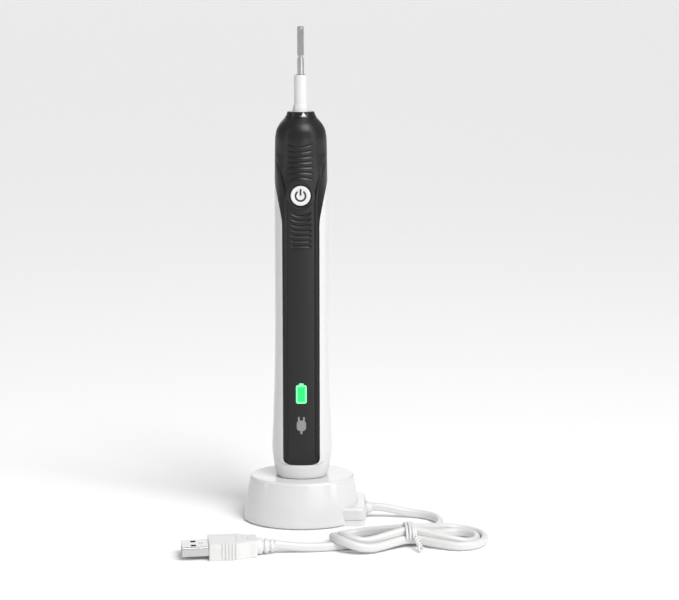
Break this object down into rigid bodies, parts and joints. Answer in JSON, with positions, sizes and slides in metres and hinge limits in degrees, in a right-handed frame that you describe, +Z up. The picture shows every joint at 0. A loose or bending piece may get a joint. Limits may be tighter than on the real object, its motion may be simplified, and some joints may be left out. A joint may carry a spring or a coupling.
{
  "type": "electric toothbrush on charger",
  "caption": "Electric toothbrush handle with metal drive shaft standing on an oval induction charger, its tied lead ending in a USB plug.",
  "frame": {"origin": "centre of the charger's underside, on the surface it stands on", "axes": "+Z up along the handle and its drive shaft; -Y towards the front with the button; +X towards the block the lead leaves"},
  "size_m": [0.1413, 0.0872, 0.2353],
  "materials": {
    "white_shell": "gloss",
    "black_grip": "satin",
    "black_plastic": "satin",
    "white_plastic": "satin",
    "cord_pvc": "satin",
    "rubber_grey": "matt",
    "steel": "polished",
    "plated_steel": "plated",
    "copper": "enamelled wire",
    "bronze": "sintered",
    "ferrite": "matt",
    "board_green": "satin",
    "chip_black": "matt",
    "battery_wrap": "satin",
    "nickel": "satin",
    "gold": "plated",
    "light_green": "lit",
    "light_grey": "translucent",
    "symbol_black": "printed",
    "led_white": "clear",
    "wire_sleeve": "satin",
    "tie_white": "satin"
  },
  "bodies": {
    "charger": {"charger_housing": "white_shell", "charger_base_cover": "white_shell", "charger_feet": "rubber_grey", "coil_bobbin": "white_plastic", "primary_coil": "copper", "ferrite_core": "ferrite", "charger_board": "board_green", "charger_board_chips": "chip_black", "supply_wires": "wire_sleeve", "cord_gland": "cord_pvc", "cord_lead": "cord_pvc", "cord_hank": "cord_pvc", "cord_tail": "cord_pvc", "cord_tie": "tie_white", "usb_strain_relief": "white_plastic", "usb_overmould": "white_plastic", "usb_shell": "plated_steel", "usb_tongue": "black_plastic", "usb_contacts": "gold"},
    "handle": {"base_cap": "white_shell", "base_seal": "rubber_grey", "charging_coil": "copper", "handle_housing": "white_shell", "front_grip": "black_grip", "top_collar": "black_plastic", "collar_mark": "white_plastic", "shaft_neck": "white_plastic", "upper_bush": "bronze", "shaft_seal": "rubber_grey", "chassis": "white_plastic", "battery": "battery_wrap", "battery_tabs": "nickel", "circuit_board": "board_green", "board_chips": "chip_black", "status_leds": "led_white", "tact_switch": "nickel", "battery_light": "light_green", "plug_light": "light_grey", "stator_core": "ferrite", "stator_coil": "copper", "flexure_springs": "steel", "spring_anchor": "steel", "lower_bush": "bronze"},
    "button": {"power_button": "white_plastic", "power_symbol": "symbol_black", "switch_plunger": "black_plastic"},
    "drive": {"drive_shaft": "steel", "magnet_carrier": "steel", "drive_magnets": "nickel"}
  },
  "joints": [
    {"name": "handle_lift", "type": "slide", "parent": "charger", "child": "handle", "axis": [0, 0, 1], "range_m": [0, 0.06]},
    {"name": "button_press", "type": "slide", "parent": "handle", "child": "button", "axis": [0, 1, 0], "range_m": [0, 0.0004], "stiffness_N_per_m": 900},
    {"name": "shaft_turn", "type": "hinge", "parent": "handle", "child": "drive", "pos_m": [0, 0, 0.16], "axis": [0, 0, 1], "range_deg": [-6, 6], "stiffness_Nm_per_rad": 0.4}
  ]
}
